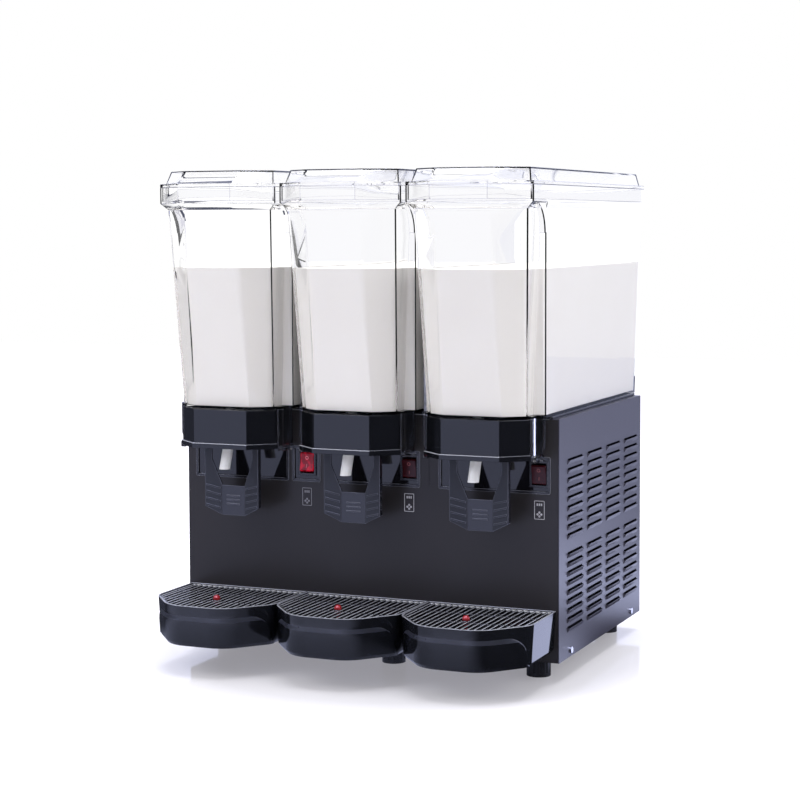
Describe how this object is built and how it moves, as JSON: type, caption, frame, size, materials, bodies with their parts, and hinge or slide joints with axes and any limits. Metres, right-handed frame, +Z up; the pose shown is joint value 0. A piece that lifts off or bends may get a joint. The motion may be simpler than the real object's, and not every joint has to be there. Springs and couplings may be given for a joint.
{
  "type": "cold drink dispenser",
  "caption": "Countertop cold drink dispenser with side-by-side clear tanks on a louvred metal cabinet, push levers, soft spouts, rocker switches and lift-off drip trays.",
  "frame": {"origin": "on the surface it stands on, under the middle of its outer box", "axes": "+X to the machine's right as seen from the front, +Y towards its back, +Z up; the front faces -Y"},
  "size_m": [0.5834, 0.595, 0.707],
  "materials": {
    "cabinet_paint": "satin powder coat",
    "front_paint": "satin powder coat",
    "gloss_strip": "mirror gloss",
    "gloss_black": "moulded gloss",
    "clear_tank": "clear, polished",
    "lever_black": "moulded satin",
    "spout_silicone": "smooth",
    "impeller_white": "moulded",
    "magnet_iron": "coated",
    "rocker_red": "moulded gloss",
    "float_red": "moulded gloss",
    "steel": "brushed",
    "screw_steel": "plated",
    "foot_plastic": "moulded",
    "seal_rubber": "matt",
    "motor_metal": "cast",
    "switch_black": "moulded",
    "compressor_paint": "gloss enamel",
    "condenser_metal": "mill finish",
    "pipe_copper": "drawn"
  },
  "bodies": {
    "cabinet": {"base_pan": "cabinet_paint", "front_panel": "front_paint", "side_panel_left": "cabinet_paint", "side_panel_right": "cabinet_paint", "rear_panel": "cabinet_paint", "top_deck": "steel", "control_strip": "gloss_strip", "evaporator_drums": "steel", "tank_seals": "seal_rubber", "stirrer_motors": "motor_metal", "switch_housings": "switch_black", "lever_pins": "steel", "lever_springs": "steel", "panel_screws": "screw_steel", "compressor": "compressor_paint", "condenser": "condenser_metal", "fan_frame": "switch_black", "fan_motor": "motor_metal", "refrigerant_pipes": "pipe_copper", "wiring_box": "switch_black", "cable_gland": "switch_black", "seat_left": "gloss_black", "seat_middle": "gloss_black", "seat_right": "gloss_black", "spout_left": "spout_silicone", "spout_middle": "spout_silicone", "spout_right": "spout_silicone"},
    "left_tank_body": {"tank_left": "clear_tank"},
    "left_lid_body": {"lid_left": "clear_tank"},
    "left_impeller_body": {"impeller_left": "impeller_white"},
    "left_magnet_body": {"drive_magnet_left": "magnet_iron"},
    "left_lever_body": {"lever_left": "lever_black"},
    "left_rocker_body": {"rocker_left": "rocker_red"},
    "left_tray_body": {"tray_left": "gloss_black"},
    "left_grille_body": {"grille_left": "gloss_black"},
    "left_float_body": {"float_left": "float_red"},
    "middle_tank_body": {"tank_middle": "clear_tank"},
    "middle_lid_body": {"lid_middle": "clear_tank"},
    "middle_impeller_body": {"impeller_middle": "impeller_white"},
    "middle_magnet_body": {"drive_magnet_middle": "magnet_iron"},
    "middle_lever_body": {"lever_middle": "lever_black"},
    "middle_rocker_body": {"rocker_middle": "rocker_red"},
    "middle_tray_body": {"tray_middle": "gloss_black"},
    "middle_grille_body": {"grille_middle": "gloss_black"},
    "middle_float_body": {"float_middle": "float_red"},
    "right_tank_body": {"tank_right": "clear_tank"},
    "right_lid_body": {"lid_right": "clear_tank"},
    "right_impeller_body": {"impeller_right": "impeller_white"},
    "right_magnet_body": {"drive_magnet_right": "magnet_iron"},
    "right_lever_body": {"lever_right": "lever_black"},
    "right_rocker_body": {"rocker_right": "rocker_red"},
    "right_tray_body": {"tray_right": "gloss_black"},
    "right_grille_body": {"grille_right": "gloss_black"},
    "right_float_body": {"float_right": "float_red"},
    "fan_rotor_body": {"fan_rotor": "motor_metal"},
    "foot_front_left_body": {"foot_front_left": "foot_plastic"},
    "foot_front_middle_body": {"foot_front_middle": "foot_plastic"},
    "foot_front_right_body": {"foot_front_right": "foot_plastic"},
    "foot_rear_left_body": {"foot_rear_left": "foot_plastic"},
    "foot_rear_right_body": {"foot_rear_right": "foot_plastic"}
  },
  "joints": [
    {"name": "left_tank_lift", "type": "slide", "parent": "cabinet", "child": "left_tank_body", "axis": [0, 0, 1], "range_m": [0, 0.16]},
    {"name": "left_lid_lift", "type": "slide", "parent": "left_tank_body", "child": "left_lid_body", "axis": [0, 0, 1], "range_m": [0, 0.06]},
    {"name": "left_magnet_turn", "type": "hinge", "parent": "cabinet", "child": "left_magnet_body", "pos_m": [-0.19, 0.0505, 0.49], "axis": [0, 0, 1], "continuous": true},
    {"name": "left_impeller_turn", "type": "hinge", "parent": "cabinet", "child": "left_impeller_body", "pos_m": [-0.19, 0.0505, 0.51], "axis": [0, 0, 1], "continuous": true},
    {"name": "left_lever_push", "type": "hinge", "parent": "cabinet", "child": "left_lever_body", "pos_m": [-0.19, -0.1785, 0.333], "axis": [1, 0, 0], "range_deg": [0, 15], "stiffness_Nm_per_rad": 0.3, "springref_deg": -8.59},
    {"name": "left_tray_lift", "type": "slide", "parent": "cabinet", "child": "left_tray_body", "axis": [0, 0, 1], "range_m": [0, 0.008]},
    {"name": "left_grille_lift", "type": "slide", "parent": "left_tray_body", "child": "left_grille_body", "axis": [0, 0, 1], "range_m": [0, 0.03]},
    {"name": "left_float_rise", "type": "slide", "parent": "left_grille_body", "child": "left_float_body", "axis": [0, 0, 1], "range_m": [0, 0.015]},
    {"name": "middle_tank_lift", "type": "slide", "parent": "cabinet", "child": "middle_tank_body", "axis": [0, 0, 1], "range_m": [0, 0.16]},
    {"name": "middle_lid_lift", "type": "slide", "parent": "middle_tank_body", "child": "middle_lid_body", "axis": [0, 0, 1], "range_m": [0, 0.06]},
    {"name": "middle_magnet_turn", "type": "hinge", "parent": "cabinet", "child": "middle_magnet_body", "pos_m": [0, 0.0505, 0.49], "axis": [0, 0, 1], "continuous": true},
    {"name": "middle_impeller_turn", "type": "hinge", "parent": "cabinet", "child": "middle_impeller_body", "pos_m": [0, 0.0505, 0.51], "axis": [0, 0, 1], "continuous": true},
    {"name": "middle_lever_push", "type": "hinge", "parent": "cabinet", "child": "middle_lever_body", "pos_m": [0, -0.1785, 0.333], "axis": [1, 0, 0], "range_deg": [0, 15], "stiffness_Nm_per_rad": 0.3, "springref_deg": -8.59},
    {"name": "middle_tray_lift", "type": "slide", "parent": "cabinet", "child": "middle_tray_body", "axis": [0, 0, 1], "range_m": [0, 0.008]},
    {"name": "middle_grille_lift", "type": "slide", "parent": "middle_tray_body", "child": "middle_grille_body", "axis": [0, 0, 1], "range_m": [0, 0.03]},
    {"name": "middle_float_rise", "type": "slide", "parent": "middle_grille_body", "child": "middle_float_body", "axis": [0, 0, 1], "range_m": [0, 0.015]},
    {"name": "right_tank_lift", "type": "slide", "parent": "cabinet", "child": "right_tank_body", "axis": [0, 0, 1], "range_m": [0, 0.16]},
    {"name": "right_lid_lift", "type": "slide", "parent": "right_tank_body", "child": "right_lid_body", "axis": [0, 0, 1], "range_m": [0, 0.06]},
    {"name": "right_magnet_turn", "type": "hinge", "parent": "cabinet", "child": "right_magnet_body", "pos_m": [0.19, 0.0505, 0.49], "axis": [0, 0, 1], "continuous": true},
    {"name": "right_impeller_turn", "type": "hinge", "parent": "cabinet", "child": "right_impeller_body", "pos_m": [0.19, 0.0505, 0.51], "axis": [0, 0, 1], "continuous": true},
    {"name": "right_lever_push", "type": "hinge", "parent": "cabinet", "child": "right_lever_body", "pos_m": [0.19, -0.1785, 0.333], "axis": [1, 0, 0], "range_deg": [0, 15], "stiffness_Nm_per_rad": 0.3, "springref_deg": -8.59},
    {"name": "right_tray_lift", "type": "slide", "parent": "cabinet", "child": "right_tray_body", "axis": [0, 0, 1], "range_m": [0, 0.008]},
    {"name": "right_grille_lift", "type": "slide", "parent": "right_tray_body", "child": "right_grille_body", "axis": [0, 0, 1], "range_m": [0, 0.03]},
    {"name": "right_float_rise", "type": "slide", "parent": "right_grille_body", "child": "right_float_body", "axis": [0, 0, 1], "range_m": [0, 0.015]},
    {"name": "left_rocker_tip", "type": "hinge", "parent": "cabinet", "child": "left_rocker_body", "pos_m": [-0.0935, -0.1283, 0.2885], "axis": [1, 0, 0], "range_deg": [0, 16]},
    {"name": "middle_rocker_tip", "type": "hinge", "parent": "cabinet", "child": "middle_rocker_body", "pos_m": [0.0665, -0.1283, 0.2885], "axis": [1, 0, 0], "range_deg": [-16, 0]},
    {"name": "right_rocker_tip", "type": "hinge", "parent": "cabinet", "child": "right_rocker_body", "pos_m": [0.2595, -0.1283, 0.2885], "axis": [1, 0, 0], "range_deg": [-16, 0]},
    {"name": "fan_turn", "type": "hinge", "parent": "cabinet", "child": "fan_rotor_body", "pos_m": [0.11, 0.1875, 0.153], "axis": [0, 1, 0], "continuous": true},
    {"name": "foot_front_left_turn", "type": "hinge", "parent": "cabinet", "child": "foot_front_left_body", "pos_m": [-0.245, -0.0935, 0.018], "axis": [0, 0, 1], "continuous": true},
    {"name": "foot_front_middle_turn", "type": "hinge", "parent": "cabinet", "child": "foot_front_middle_body", "pos_m": [0.024, -0.0935, 0.018], "axis": [0, 0, 1], "continuous": true},
    {"name": "foot_front_right_turn", "type": "hinge", "parent": "cabinet", "child": "foot_front_right_body", "pos_m": [0.245, -0.0935, 0.018], "axis": [0, 0, 1], "continuous": true},
    {"name": "foot_rear_left_turn", "type": "hinge", "parent": "cabinet", "child": "foot_rear_left_body", "pos_m": [-0.245, 0.2245, 0.018], "axis": [0, 0, 1], "continuous": true},
    {"name": "foot_rear_right_turn", "type": "hinge", "parent": "cabinet", "child": "foot_rear_right_body", "pos_m": [0.245, 0.2245, 0.018], "axis": [0, 0, 1], "continuous": true}
  ],
  "couplings": [
    {"joint": "left_impeller_turn", "follows": "left_magnet_turn", "ratio": 1},
    {"joint": "middle_impeller_turn", "follows": "middle_magnet_turn", "ratio": 1},
    {"joint": "right_impeller_turn", "follows": "right_magnet_turn", "ratio": 1}
  ]
}
